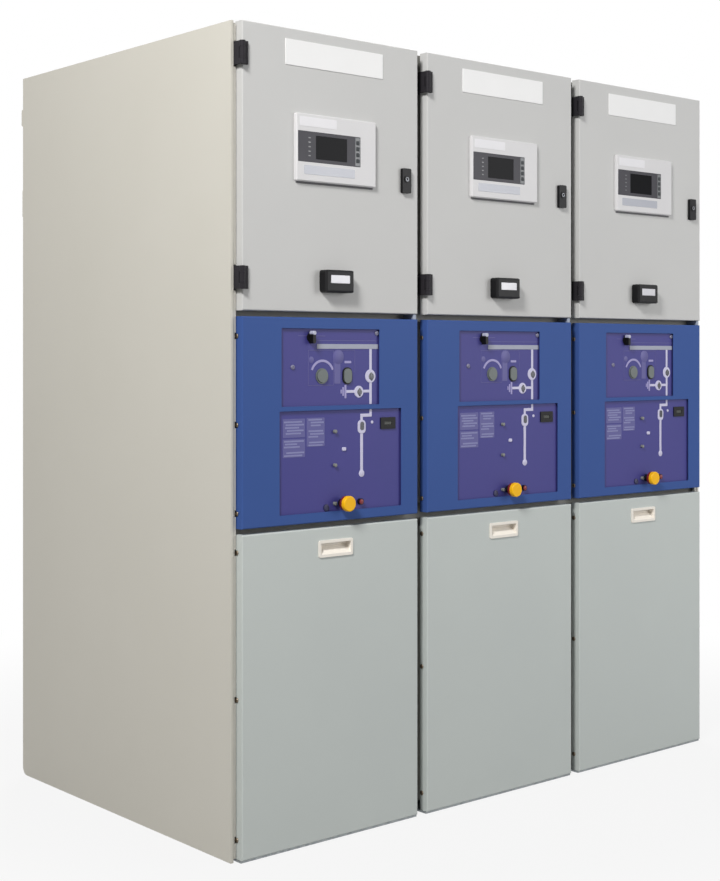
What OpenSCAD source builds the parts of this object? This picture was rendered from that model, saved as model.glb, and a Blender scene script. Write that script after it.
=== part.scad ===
// Gas-insulated medium-voltage switchgear: three panels standing side by side.
// Each panel has a low-voltage compartment with a hinged door on top, a screwed mechanism
// cover with two operating plates in the middle, and a lift-off cable cover below.
// Millimetres. The origin is on the floor under the middle of the whole box, +Z is up,
// the doors face -Y and +X runs to the right along the row of panels.

/* [Row of panels] */
// Width of one panel
panel_w = 600; // [560:10:800]
// Overall height
height = 2000; // [1850:10:2400]
// Depth from the door faces to the rear edge of the end covers
depth = 1040; // [900:10:1400]
// Height of the seam under the low-voltage doors
upper_seam_z = 1305; // [1260:1:1380]
// Height of the seam under the mechanism covers
lower_seam_z = 785; // [720:1:820]

/* [Folded doors and covers] */
// Sheet thickness of doors, covers and compartments
sheet_t = 2; // [1.5:0.5:3]
// Depth of the folded edges
fold_d = 28; // [24:1:32]
// Outer radius of the folds
bend_r = 3; // [2:0.5:6]
// Gap between neighbouring doors, side by side
side_gap = 34; // [32:1:40]
// Gap between door, mechanism cover and cable cover, one above the other
seam_gap = 14; // [8:1:18]
// Space behind the folded edges, in front of the cubicle
shadow_gap = 12; // [11:1:20]
// Height of the cable cover's lower edge above the base frame's front flange
floor_clear = 1; // [1:0.5:10]
// Width of the angle strips that the fixed covers are screwed to
strip_w = 20; // [14:1:30]
// Distance of the angle strips from the cover's upper and lower edge
strip_inset = 24; // [10:1:40]
// Fitting clearance between pieces that slide over one another
fit_clear = 0.3; // [0.2:0.1:0.5]
// Clearance of base frames and roof plates from the panel's sides
joint_clear = 1; // [0.5:0.5:2]

/* [End, rear and roof sheets] */
// Width of the edges folded over the roof and the rear
end_fold_w = 30; // [20:1:50]
// Radius of the end covers' lower rear corners
end_corner_r = 22; // [10:1:40]
// How far the end covers' front edges stand in front of the cubicle
end_lead = 20; // [14:1:24]
// Width of the hem along the end covers' front edges
end_hem_w = 8; // [6:0.5:8]
// Depth of the rear covers
rear_fold_d = 12; // [8:1:20]
// Gap between neighbouring rear covers
rear_gap = 6; // [4:1:12]
// Thickness of the roof plates
roof_t = 3; // [2:0.5:5]
// Height of the upper rear clip's middle below the top
clip_upper_drop = 112; // [90:1:160]
// Height of the lower rear clip's middle below the top
clip_lower_drop = 359; // [300:1:420]
// Length of the upper rear clip
clip_upper_l = 48; // [30:1:60]
// Length of the lower rear clip
clip_lower_l = 78; // [50:1:100]
// How far the upper rear clip stands out
clip_upper_p = 12; // [8:1:20]
// How far the lower rear clip stands out
clip_lower_p = 7; // [5:1:8]
// Distance of the rear clips from the end cover's face and from its fold's edge
clip_inset = 2; // [1:0.5:5]

/* [Base frame] */
// Height of the base frame
base_h = 60; // [40:5:120]
// Thickness of the base frame's steel
base_t = 5; // [4:1:8]
// Width of the base frame's floor flange
base_flange_w = 50; // [40:1:70]
// Distance of the base frame's front flange behind the covers' faces
toe_recess = 5; // [3:1:12]
// Diameter of the floor bolt holes
floor_hole_d = 14; // [11:1:18]
// Distance of the floor bolt holes from the base frame's sides
floor_hole_inset = 27; // [25:1:30]

/* [Low-voltage compartment] */
// Depth of the compartment
lv_depth = 420; // [300:10:520]
// Width of the flange round the compartment's mouth
mouth_flange_w = 40; // [38:1:46]
// Width of the door seal
seal_w = 12; // [8:1:14]
// Distance of the door seal from the door's edges
seal_inset = 10; // [9:1:12]
// Clearance between door and seal, before the seal swells
seal_clear = 5; // [5:0.5:8]
// Distance of the mounting plate from the rear wall
plate_standoff = 20; // [10:1:40]
// Margin between the mounting plate and the compartment's walls
plate_margin = 40; // [20:1:80]
// Width of the mounting rails
rail_w = 35; // [25:1:35]
// Depth of the mounting rails
rail_d = 7.5; // [7.5:0.5:15]
// Width of the mounting rails' feet
rail_foot_w = 4; // [3:0.5:6]
// Sheet thickness of the mounting rails
rail_t = 1.5; // [1:0.1:2]
// Distance of the mounting rails' ends from the plate's sides
rail_inset = 30; // [10:1:60]
// Radius of the posts behind the mounting plate
plate_post_r = 8; // [5:0.5:10]
// Distance of these posts from the mounting plate's edges
plate_post_inset = 20; // [12:1:40]

/* [Door hinges] */
// Distance of the hinge axis outside the door's edge
hinge_side = 5; // [4:0.5:6]
// Height of a hinge
hinge_h = 55; // [40:1:80]
// Distance of a hinge's middle from the door's upper and lower edge
hinge_inset = 78; // [60:1:110]
// Radius of the hinge barrels
barrel_r = 7; // [6:0.5:8]
// Radius of the hinge pins
pin_r = 3; // [2:0.5:4]
// Clearance of the pin in the door's barrel
pin_clear = 0.1; // [0.05:0.01:0.2]
// Distance of the hinge pin in front of the door
pin_proud = 8; // [8:0.5:10]
// Clearance between the fixed hinge arm and the end cover's hem
arm_clear = 0.5; // [0.3:0.1:1]
// Thickness of the fixed hinge arm
arm_t = 4; // [3:0.5:4]
// Clearance of the fixed hinge foot behind the door's folded edge
foot_clear = 5; // [5:0.5:6]
// Thickness of the foot under the fixed hinge arm
foot_t = 3; // [2:0.5:5]
// Width of the foot under the fixed hinge arm
foot_w = 16; // [12:1:16]
// Width of the block between the hinge foot and the cubicle
block_w = 10; // [6:1:11]
// Width of the hinge leaf on the door, from the door's edge
leaf_w = 13.5; // [12:0.5:30]
// Thickness of the hinge leaf on the door
leaf_t = 6; // [4:0.5:7]
// Clearance between the hinge leaf and the fixed barrels
leaf_clear = 1.2; // [1:0.1:3]

/* [Door instruments] */
// Width of the protection relay's front
relay_w = 258; // [200:1:300]
// Height of the protection relay's front
relay_h = 166; // [140:1:200]
// How far the relay's front stands out
relay_p = 10; // [6:1:25]
// Depth of the relay's case behind the door
relay_case_d = 155; // [80:1:200]
// Margin between the relay's case and the edge of its front
relay_rim = 10; // [6:1:16]
// Offset of the relay's middle from the panel's middle
relay_shift = 1.5; // [-20:0.5:20]
// Height of the relay's middle above the middle of the door face over the indicator
relay_lift = 5; // [-20:1:20]
// Corner radius of the relay's front
relay_r = 5; // [3:0.5:8]
// Bevel round the relay's front
relay_bevel = 3; // [1:0.5:4]
// Width of the relay's display
display_w = 200; // [150:1:220]
// Height of the relay's display
display_h = 75; // [60:1:90]
// Margin left of the relay's display
display_margin = 5; // [4:1:12]
// Distance of the display's upper edge from the relay's top
display_drop = 43; // [30:1:50]
// Depth of the pocket for the relay's display
display_d = 3; // [2:0.5:5]
// Width of the relay's screen
screen_w = 100; // [80:1:110]
// Height of the relay's screen
screen_h = 58; // [45:1:59]
// Offset of the screen's middle from the display's middle
screen_shift = 6; // [-20:1:10]
// Depth of the screen behind the display's face
screen_d = 1; // [0.5:0.5:1.5]
// Side of the relay's square keys
key_w = 9; // [6:0.5:10]
// How far the keys stand out from the display's face
key_p = 1; // [0.5:0.5:2]
// Number of keys beside the screen
key_count = 4; // [3:1:5]
// Width of the voltage indicator
indicator_w = 92; // [72:1:120]
// Height of the voltage indicator
indicator_h = 56; // [48:1:70]
// How far the voltage indicator stands out
indicator_p = 27; // [10:1:28]
// Corner radius of the voltage indicator
indicator_r = 8; // [4:1:12]
// Bevel round the voltage indicator's front
indicator_bevel = 5; // [2:0.5:7]
// Width of the indicator's window
window_w = 62; // [50:1:66]
// Height of the indicator's window
window_h = 21; // [15:1:24]
// Rise of the window above the indicator's middle
window_rise = 5; // [0:1:6]
// Depth of the indicator's window
window_d = 2; // [1:0.5:4]
// Offset of the indicator's middle from the panel's middle
indicator_shift = -1.5; // [-40:0.5:40]
// Height of the indicator's middle above the door's lower edge
indicator_rise = 76; // [70:1:90]
// Depth of the indicator's case behind the door
indicator_case_d = 40; // [20:1:80]
// Margin between the indicator's case and the edge of its front
indicator_rim = 6; // [4:0.5:10]
// Width of the door lock
lock_w = 30; // [26:1:40]
// Height of the door lock
lock_h = 64; // [50:1:80]
// How far the door lock stands out
lock_p = 9; // [6:1:16]
// Distance of the lock's middle from the door's right edge
lock_inset = 46; // [40:1:60]
// Radius of the lock's key boss
boss_r = 9; // [7:0.5:11]
// How far the key boss stands out from the lock
boss_p = 2; // [1:0.5:5]
// Height of the key boss above the lock's middle
boss_rise = 4; // [0:1:10]
// Radius of the key socket in the boss
socket_r = 6; // [4:0.5:6]
// Depth of the key socket
socket_d = 7; // [4:0.5:8]
// Radius of the pin in the key socket
socket_pin_r = 2; // [1.5:0.5:3]

/* [Operating plates] */
// Width of the upper window in the mechanism cover
upper_win_w = 316; // [280:1:340]
// Height of the upper window
upper_win_h = 191; // [170:1:200]
// Offset of the upper window's middle from the panel's middle
upper_win_shift = -7.5; // [-30:0.5:20]
// Width of the lower window in the mechanism cover
lower_win_w = 397; // [360:1:420]
// Offset of the lower window's middle from the panel's middle
lower_win_shift = 27; // [0:1:40]
// Margin of the cover above the upper window
win_top = 27; // [20:1:40]
// Rib of the cover between the windows
win_rib = 11; // [10:1:20]
// Margin of the cover below the lower window
win_bottom = 25; // [20:1:40]
// Corner radius of the windows
win_r = 3; // [1:0.5:6]
// Depth of the operating plates behind the cover's face
plate_recess = 6; // [4:0.5:10]
// Thickness of the operating plates
plate_t = 3; // [2:0.5:4]
// How far the operating plates reach behind the cover
plate_lap = 4; // [2:0.5:4.5]
// Radius of the posts behind the operating plates
post_r = 6; // [4:0.5:10]
// Distance of the posts from the operating plates' edges
post_inset = 16; // [12:1:30]

/* [Operating controls] */
// Radius of the trip button's head
trip_r = 19.5; // [15:0.5:24]
// How far the trip button stands out
trip_p = 30; // [28:1:40]
// Height of the trip button's axis above the lower window's edge
trip_rise = 18.5; // [16:0.5:24]
// Offset of the trip button from the lower window's middle
trip_shift = 0; // [-10:1:10]
// Depth of the trip button's head
trip_head_d = 11; // [9:0.5:16]
// Radius of the trip button's rounded rim
trip_rim = 3; // [1:0.5:4]
// Radius of the collar round the trip button's stem
collar_r = 10; // [8:0.5:12]
// Depth of the collar round the trip button's stem
collar_d = 8; // [4:0.5:10]
// Radius of the push-button and the blanking plug beside the trip button
push_r = 8; // [6:0.5:9]
// Offset of the push-button from the trip button
push_shift = 61; // [45:1:70]
// How far the push-button stands out from its plate
push_p = 8; // [3:0.5:12]
// Offset of the blanking plug from the trip button
plug_shift = -49; // [-60:1:-40]
// How far the blanking plug stands out from its plate
plug_p = 2.5; // [1.5:0.5:4]
// Height of the blanking plug's middle above the lower window's edge
plug_rise = 10; // [9.5:0.5:16]
// Radius of the studs on the lower plate
stud_r = 4.5; // [3:0.5:6]
// How far the studs stand out from their plate
stud_p = 6; // [3:0.5:10]
// Offset of the studs from the lower window's middle
stud_shift = -22; // [-40:1:0]
// Height of the upper stud above the lower window's middle
stud_upper_rise = 72; // [60:1:80]
// Height of the lower stud above the lower window's middle
stud_lower_rise = -12; // [-30:1:0]
// Radius of the round lever cover
lever_r = 16; // [12:1:20]
// Width of the oblong lever cover
lever_w = 24; // [16:1:28]
// Height of the oblong lever cover
lever_h = 36; // [26:1:40]
// Thickness of the lever covers
lever_t = 5; // [3:0.5:8]
// Width of the rims round the lever covers
lever_rim_w = 3; // [2:0.5:6]
// Thickness of the rims round the lever covers
lever_rim_t = 2; // [1:0.5:3]
// Offset of the round lever cover from the upper window's middle
lever_round_shift = -28; // [-40:1:-20]
// Offset of the oblong lever cover from the upper window's middle
lever_oblong_shift = 54; // [40:1:70]
// Depth of the lever covers' middles below the upper window's middle
lever_drop = 22; // [0:1:30]
// Length of the selector knob's grip
knob_l = 30; // [22:1:34]
// Width of the selector knob's grip
knob_w = 9; // [8:1:14]
// How far the selector knob stands out from its plate
knob_p = 17; // [12:1:26]
// Radius of the selector knob's base
knob_base_r = 11.5; // [10:0.5:14]
// Thickness of the selector knob's base
knob_base_t = 4; // [2:0.5:6]
// Offset of the selector knob from the upper window's middle
knob_shift = -64; // [-90:1:-50]
// Distance of the selector knob's grip from the upper window's edge
knob_drop = 7; // [2:0.5:12]
// Width of the operations counter
counter_w = 50; // [30:1:60]
// Height of the operations counter
counter_h = 30; // [20:1:36]
// How far the counter stands out from its plate
counter_p = 3; // [2:0.5:6]
// Distance of the counter from the lower window's right edge
counter_side = 18; // [8:1:30]
// Distance of the counter from the lower window's upper edge
counter_drop = 23; // [8:1:30]

/* [Cable cover handle] */
// Width of the cup handle
cup_w = 110; // [90:1:140]
// Height of the cup handle
cup_h = 42; // [34:1:56]
// Depth of the cup behind the cover
cup_d = 19; // [14:1:22]
// How far the cup's rim stands out
cup_p = 3; // [2:0.5:4]
// Width of the cup's rim
cup_rim = 7; // [6:0.5:9]
// Wall thickness of the cup
cup_t = 2; // [1.5:0.5:3]
// Distance of the handle's middle below the cover's top
cup_drop = 52; // [40:1:80]
// Offset of the handle's middle from the panel's middle
cup_shift = 4; // [-10:1:10]
// Corner radius of the handle's rim
cup_r = 5; // [3:0.5:8]

/* [Hidden] */
$fn = 48;
eps = 0.01;
panels = [1, 2, 3];
row_w = len(panels) * panel_w;

// Depth positions, measured back from the door faces
frame_y = fold_d + shadow_gap;
end_y = frame_y - end_lead;
rear_y = depth - sheet_t - rear_fold_d;
button_y = -trip_p;
front_y = -(depth + clip_upper_p + button_y) / 2;

// Outlines of the doors and covers on one panel
floor_gap = base_t + floor_clear;
tray_x = side_gap / 2;
tray_w = panel_w - side_gap;
door_z = upper_seam_z + seam_gap / 2;
door_h = height - door_z;
mech_z = lower_seam_z + seam_gap / 2;
mech_h = upper_seam_z - seam_gap / 2 - mech_z;
cable_h = lower_seam_z - seam_gap / 2 - floor_gap;
roof_z = height - sheet_t - roof_t;

// Middles of the door's instruments
indicator_x = panel_w / 2 + indicator_shift;
indicator_z = door_z + indicator_rise;
indicator_case_w = indicator_w - 2 * indicator_rim;
indicator_case_h = indicator_h - 2 * indicator_rim;
relay_x = panel_w / 2 + relay_shift;
relay_z = (indicator_z + indicator_h / 2 + height) / 2 + relay_lift;
relay_case_w = relay_w - 2 * relay_rim;
relay_case_h = relay_h - 2 * relay_rim;
display_x = display_margin + display_w / 2 - relay_w / 2;
display_z = relay_h / 2 - display_drop - display_h / 2;
display_r = 2;
lock_x = tray_x + tray_w - lock_inset;
lock_z = door_z + door_h / 2;
lock_r = 4;
lock_barrel_r = lock_w / 2 - lock_r;

// Hinge axis and its two heights
hinge_x = tray_x - hinge_side;
arm_x = end_hem_w - sheet_t + arm_clear;
hinge_y = -pin_proud;
hinge_zs = [door_z + hinge_inset, height - hinge_inset];
knuckle_h = hinge_h / 4;
knuckle_clear = 0.5;

// Windows of the mechanism cover, by their middles
lower_win_h = mech_h - win_top - upper_win_h - win_rib - win_bottom;
upper_win_x = panel_w / 2 + upper_win_shift;
upper_win_z = mech_z + mech_h - win_top - upper_win_h / 2;
lower_win_x = panel_w / 2 + lower_win_shift;
lower_win_z = mech_z + win_bottom + lower_win_h / 2;

// Places of the controls on the operating plates
trip_x = lower_win_x + trip_shift;
trip_z = mech_z + win_bottom + trip_rise;
plug_z = mech_z + win_bottom + plug_rise;
stud_x = lower_win_x + stud_shift;
lever_z = upper_win_z - lever_drop;
lever_round_x = upper_win_x + lever_round_shift;
lever_oblong_x = upper_win_x + lever_oblong_shift;
lever_oblong_r = lever_w / 2 - 1;
knob_x = upper_win_x + knob_shift;
knob_z = upper_win_z + upper_win_h / 2 - knob_drop - knob_l / 2;
counter_x = lower_win_x + lower_win_w / 2 - counter_side - counter_w / 2;
counter_z = lower_win_z + lower_win_h / 2 - counter_drop - counter_h / 2;

// Finger pocket and body of the cup handle
cup_x = panel_w / 2 + cup_shift;
cup_z = floor_gap + cable_h - cup_drop;
cup_mouth_w = cup_w - 2 * cup_rim;
cup_mouth_h = cup_h - 2 * cup_rim;
cup_body_w = cup_mouth_w + 2 * cup_t;
cup_body_h = cup_mouth_h + 2 * cup_t;

door_colour = "#c4c4c1";
cover_colour = "#b4b8b4";
sheet_colour = "#d6d2c8";
frame_colour = "#9c9b95";
blue_colour = "#40569a";
indigo_colour = "#4c4a82";
black_colour = "#1c1c1e";
steel_colour = "#a9adb0";

panel_nodes = [
    "panel_housing", "lv_compartment", "lv_door", "hinge_leaves", "relay", "relay_display",
    "voltage_indicator", "door_lock", "mechanism_cover", "operating_plates", "cable_cover"
];
row_nodes = [
    "end_cover_left", "end_cover_right", "base_frame", "rear_covers", "rear_clips", "roof_plates",
    "mounting_plates", "door_seals", "hinge_brackets", "cover_strips", "lever_covers",
    "operating_knobs", "trip_buttons", "cover_handles"
];

// A panel's own frame: x from its left side, y back from the door faces, z from the floor.
module at_panel(i) {
    translate([(i - 1) * panel_w - row_w / 2, front_y, 0]) children();
}

// Rectangle with its two lower corners rounded.
module two_round_rect(w, d, r) {
    translate([r, 0]) square([w - 2 * r, d]);
    translate([0, r]) square([w, d - r]);
    translate([r, r]) circle(r);
    translate([w - r, r]) circle(r);
}

// Rectangle about the origin with four round corners.
module round_rect(w, h, r) {
    square([w - 2 * r, h], center = true);
    square([w, h - 2 * r], center = true);
    for (x = [-1, 1]) {
        for (z = [-1, 1]) {
            translate([x * (w / 2 - r), z * (h / 2 - r)]) circle(r);
        }
    }
}

// Rounded block about the origin that stands forward of y = 0 by p.
module front_block(w, h, p, r) {
    rotate([90, 0, 0]) linear_extrude(p) round_rect(w, h, r);
}

// Outline of a block of width w that stands forward of y = 0 by p, bevelled by b.
module bevel_outline(w, p, b) {
    polygon([[-w / 2, 0], [-w / 2, b - p], [b - w / 2, -p], [w / 2 - b, -p], [w / 2, b - p], [w / 2, 0]]);
}

// Rounded block about the origin with a bevel all round its front face.
module bevelled_block(w, h, p, r, b) {
    intersection() {
        front_block(w, h, p, r);
        translate([0, 0, -h / 2]) linear_extrude(h) bevel_outline(w, p, b);
        translate([-w / 2, 0, 0]) rotate([0, 90, 0]) linear_extrude(w) bevel_outline(h, p, b);
    }
}

// Flat rim round a lever cover of w by h with corner radius r.
module lever_rim(w, h, r) {
    inner_w = w + 2 * fit_clear;
    inner_h = h + 2 * fit_clear;
    difference() {
        front_block(inner_w + 2 * lever_rim_w, inner_h + 2 * lever_rim_w, lever_rim_t, r + lever_rim_w);
        translate([0, eps, 0]) front_block(inner_w, inner_h, lever_rim_t + 2 * eps, r);
    }
}

// Round piece on a horizontal axis that stands forward of y = 0 by p.
module front_disc(r, p) {
    rotate([90, 0, 0]) cylinder(r = r, h = p);
}

// Sheet-metal tray with its face at y = 0: the four edges of the face are folded back.
module folded_tray(w, h, d) {
    difference() {
        intersection() {
            linear_extrude(h) two_round_rect(w, d, bend_r);
            translate([w, 0, 0]) rotate([0, -90, 0]) linear_extrude(w) two_round_rect(h, d, bend_r);
        }
        translate([sheet_t, sheet_t, sheet_t]) cube([w - 2 * sheet_t, d, h - 2 * sheet_t]);
    }
}

// Cut for an instrument's case through a tray's face, about the origin.
module case_cut(w, h) {
    cut_w = w + 2 * fit_clear;
    cut_h = h + 2 * fit_clear;
    translate([-cut_w / 2, -eps, -cut_h / 2]) cube([cut_w, sheet_t + 2 * eps, cut_h]);
}

// Case behind a tray's face, about the origin.
module rear_case(w, h, d) {
    translate([-w / 2, -eps, -h / 2]) cube([w, d + eps, h]);
}

// Closed steel housing of gas tank, mechanism and cable space, stepped behind the compartment.
module panel_housing() {
    color(frame_colour) union() {
        translate([0, frame_y, base_h]) cube([panel_w, rear_y - frame_y, upper_seam_z - base_h]);
        translate([0, frame_y + lv_depth, base_h])
            cube([panel_w, rear_y - frame_y - lv_depth, roof_z - base_h]);
    }
}

// Open-fronted sheet-metal box with a flange round its mouth.
module lv_compartment() {
    box_h = height - sheet_t - upper_seam_z;
    mouth = sheet_t + mouth_flange_w;
    color(frame_colour) translate([0, frame_y, upper_seam_z]) difference() {
        cube([panel_w, lv_depth, box_h]);
        translate([sheet_t, sheet_t, sheet_t])
            cube([panel_w - 2 * sheet_t, lv_depth - 2 * sheet_t, box_h - 2 * sheet_t]);
        translate([mouth, -eps, mouth]) cube([panel_w - 2 * mouth, sheet_t + 2 * eps, box_h - 2 * mouth]);
    }
}

// Folded door with cut-outs for relay, voltage indicator and lock.
module lv_door() {
    color(door_colour) difference() {
        translate([tray_x, 0, door_z]) folded_tray(tray_w, door_h, fold_d);
        translate([relay_x, 0, relay_z]) case_cut(relay_case_w, relay_case_h);
        translate([indicator_x, 0, indicator_z]) case_cut(indicator_case_w, indicator_case_h);
        translate([lock_x, sheet_t + eps, lock_z]) front_disc(lock_barrel_r + fit_clear, sheet_t + 2 * eps);
    }
}

// Moving halves of the two hinges: a leaf on the door's face and the middle barrel.
module hinge_leaves() {
    leaf_x = hinge_x + barrel_r + leaf_clear;
    leaf_end = tray_x + leaf_w;
    middle_h = hinge_h - 2 * knuckle_h - 2 * knuckle_clear;
    color(black_colour) for (z = hinge_zs) {
        translate([0, 0, z]) difference() {
            union() {
                translate([leaf_x, -leaf_t, -hinge_h / 2]) cube([leaf_end - leaf_x, leaf_t, hinge_h]);
                translate([hinge_x, -leaf_t, -middle_h / 2]) cube([leaf_end - hinge_x, leaf_t, middle_h]);
                translate([hinge_x, hinge_y, -middle_h / 2]) cylinder(r = barrel_r, h = middle_h);
            }
            translate([hinge_x, hinge_y, -hinge_h]) cylinder(r = pin_r + pin_clear, h = 2 * hinge_h);
        }
    }
}

// Fixed halves of the hinges: arm beside the door's folded edge, foot on a block behind it, end
// barrels and pin.
module hinge_bracket() {
    arm_y = hinge_y + barrel_r + knuckle_clear;
    foot_y = fold_d + foot_clear;
    back_y = foot_y + foot_t;
    union() {
        translate([arm_x, arm_y, -hinge_h / 2]) cube([arm_t, back_y - arm_y, hinge_h]);
        translate([arm_x, foot_y, -hinge_h / 2]) cube([foot_w, foot_t, hinge_h]);
        translate([arm_x + foot_w - block_w, foot_y, -hinge_h / 2])
            cube([block_w, frame_y - foot_y, hinge_h]);
        for (z = [-hinge_h / 2, hinge_h / 2 - knuckle_h]) {
            translate([arm_x, hinge_y, z]) cube([arm_t, back_y - hinge_y, knuckle_h]);
            translate([hinge_x, hinge_y, z]) cylinder(r = barrel_r, h = knuckle_h);
        }
        translate([hinge_x, hinge_y, -hinge_h / 2]) cylinder(r = pin_r, h = hinge_h);
    }
}

module hinge_brackets() {
    color(black_colour) for (i = panels) {
        for (z = hinge_zs) {
            at_panel(i) translate([0, 0, z]) hinge_bracket();
        }
    }
}

// Protection relay: moulded front with a pocket for the display, and its case behind the door.
module relay() {
    color("#e6e6e4") translate([relay_x, 0, relay_z]) difference() {
        union() {
            bevelled_block(relay_w, relay_h, relay_p, relay_r, relay_bevel);
            rear_case(relay_case_w, relay_case_h, relay_case_d);
        }
        translate([display_x, display_d - relay_p, display_z])
            front_block(display_w + 2 * fit_clear, display_h + 2 * fit_clear, display_d + eps, display_r);
    }
}

// Dark display set into the relay's front: a sunk screen and a column of keys beside it.
module relay_display() {
    face_y = fit_clear - display_d;
    key_pitch = display_h / (key_count + 1);
    color("#3a3a3e") translate([relay_x + display_x, display_d - relay_p, relay_z + display_z]) union() {
        difference() {
            front_block(display_w, display_h, -face_y, display_r);
            translate([screen_shift, face_y + screen_d, 0])
                front_block(screen_w, screen_h, screen_d + eps, 1);
        }
        for (k = [1:key_count]) {
            translate([display_w / 2 - key_w, face_y + eps, k * key_pitch - display_h / 2])
                front_block(key_w, key_w, key_p, 1);
        }
    }
}

// Voltage indicator: rounded body with a window pocket, and its case behind the door.
module voltage_indicator() {
    color(black_colour) translate([indicator_x, 0, indicator_z]) difference() {
        union() {
            bevelled_block(indicator_w, indicator_h, indicator_p, indicator_r, indicator_bevel);
            rear_case(indicator_case_w, indicator_case_h, indicator_case_d);
        }
        translate([0, window_d - indicator_p, window_rise])
            front_block(window_w, window_h, window_d + eps, display_r);
    }
}

// Quarter-turn lock: escutcheon, boss with a round key socket, and barrel behind the door.
module door_lock() {
    color(black_colour) translate([lock_x, 0, lock_z]) union() {
        difference() {
            union() {
                front_block(lock_w, lock_h, lock_p, lock_r);
                translate([0, 0, boss_rise]) front_disc(boss_r, lock_p + boss_p);
            }
            translate([0, socket_d - lock_p - boss_p, boss_rise]) front_disc(socket_r, socket_d + eps);
        }
        translate([0, 0, boss_rise]) front_disc(socket_pin_r, lock_p);
        translate([0, fold_d, 0]) front_disc(lock_barrel_r, fold_d + eps);
    }
}

// Screwed blue cover with two windows.
module mechanism_cover() {
    color(blue_colour) difference() {
        translate([tray_x, 0, mech_z]) folded_tray(tray_w, mech_h, fold_d);
        translate([upper_win_x, sheet_t + eps, upper_win_z])
            front_block(upper_win_w, upper_win_h, sheet_t + 2 * eps, win_r);
        translate([lower_win_x, sheet_t + eps, lower_win_z])
            front_block(lower_win_w, lower_win_h, sheet_t + 2 * eps, win_r);
    }
}

// One operating plate behind its window, on four posts from the housing.
module operating_plate(w, h) {
    plate_w = w + 2 * plate_lap;
    plate_h = h + 2 * plate_lap;
    translate([-plate_w / 2, plate_recess, -plate_h / 2]) cube([plate_w, plate_t, plate_h]);
    for (x = [-1, 1]) {
        for (z = [-1, 1]) {
            translate([x * (plate_w / 2 - post_inset), frame_y, z * (plate_h / 2 - post_inset)])
                front_disc(post_r, frame_y - plate_recess - eps);
        }
    }
}

module operating_plates() {
    color(indigo_colour) union() {
        translate([upper_win_x, 0, upper_win_z]) operating_plate(upper_win_w, upper_win_h);
        translate([lower_win_x, 0, lower_win_z]) operating_plate(lower_win_w, lower_win_h);
    }
}

// Closed covers over the two operating lever sockets, the round one with its rim.
module lever_covers() {
    color("#76826f") for (i = panels) {
        at_panel(i) translate([0, plate_recess, lever_z]) {
            translate([lever_round_x, 0, 0]) {
                front_disc(lever_r, lever_t);
                lever_rim(2 * lever_r, 2 * lever_r, lever_r);
            }
            translate([lever_oblong_x, 0, 0]) front_block(lever_w, lever_h, lever_t, lever_oblong_r);
        }
    }
}

// Selector knob: a round base and an upright grip.
module selector_knob() {
    front_disc(knob_base_r, knob_base_t);
    front_block(knob_w, knob_l, knob_p, knob_w / 2 - 0.5);
}

// Operations counter: a flat case with a sunk window.
module counter() {
    difference() {
        front_block(counter_w, counter_h, counter_p, 2);
        translate([0, eps - counter_p / 2, 0]) front_block(counter_w / 2, counter_h / 3, counter_p, 1);
    }
}

// Black rim of the oblong cover, knobs, studs, push-buttons, plugs and counter on the plates.
module operating_knobs() {
    color(black_colour) for (i = panels) {
        at_panel(i) translate([0, plate_recess, 0]) {
            translate([knob_x, 0, knob_z]) selector_knob();
            translate([lever_oblong_x, 0, lever_z]) lever_rim(lever_w, lever_h, lever_oblong_r);
            translate([counter_x, 0, counter_z]) counter();
            for (rise = [stud_upper_rise, stud_lower_rise]) {
                translate([stud_x, 0, lower_win_z + rise]) front_disc(stud_r, stud_p);
            }
            translate([stud_x, 0, trip_z]) front_disc(stud_r, stud_p);
            translate([trip_x + push_shift, 0, trip_z]) front_disc(push_r, push_p);
            translate([trip_x + plug_shift, 0, plug_z]) front_disc(push_r, plug_p);
        }
    }
}

// Mushroom head with a rounded rim, on a stem and a collar.
module trip_button() {
    reach = trip_p + plate_recess;
    rotate([90, 0, 0]) union() {
        cylinder(r = collar_r, h = collar_d);
        cylinder(r = collar_r * 2 / 3, h = reach - trip_rim);
        translate([0, 0, reach - trip_head_d]) cylinder(r = trip_r, h = trip_head_d - trip_rim);
        translate([0, 0, reach - trip_head_d]) cylinder(r = trip_r - trip_rim, h = trip_head_d);
        translate([0, 0, reach - trip_rim]) rotate_extrude()
            translate([trip_r - trip_rim, 0]) circle(trip_rim);
    }
}

module trip_buttons() {
    color("#eab826") for (i = panels) {
        at_panel(i) translate([trip_x, plate_recess, trip_z]) trip_button();
    }
}

// Lift-off cover of the cable space, with a cut-out for its cup handle.
module cable_cover() {
    color(cover_colour) difference() {
        translate([tray_x, 0, floor_gap]) folded_tray(tray_w, cable_h, fold_d);
        translate([cup_x, 0, cup_z]) case_cut(cup_body_w, cup_body_h);
    }
}

// Cup handle: a rim on the cover's face and a finger pocket whose floor slopes up to the back.
module cover_handle() {
    pocket_y = cup_d - cup_t;
    difference() {
        union() {
            front_block(cup_w, cup_h, cup_p, cup_r);
            rear_case(cup_body_w, cup_body_h, cup_d);
        }
        translate([-cup_mouth_w / 2, 0, 0]) rotate([90, 0, 90]) linear_extrude(cup_mouth_w) polygon([
            [-cup_p - eps, -cup_mouth_h / 2],
            [pocket_y, cup_mouth_h / 6],
            [pocket_y, cup_mouth_h / 2],
            [-cup_p - eps, cup_mouth_h / 2]
        ]);
    }
}

module cover_handles() {
    color("#e2e0d6") for (i = panels) {
        at_panel(i) translate([cup_x, 0, cup_z]) cover_handle();
    }
}

// Angle strips on the housing's front, inside the fixed covers' folded edges.
module cover_strip(h) {
    linear_extrude(h) union() {
        translate([0, plate_recess]) square([sheet_t, frame_y - plate_recess]);
        translate([0, frame_y - sheet_t]) square([strip_w, sheet_t]);
    }
}

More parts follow.
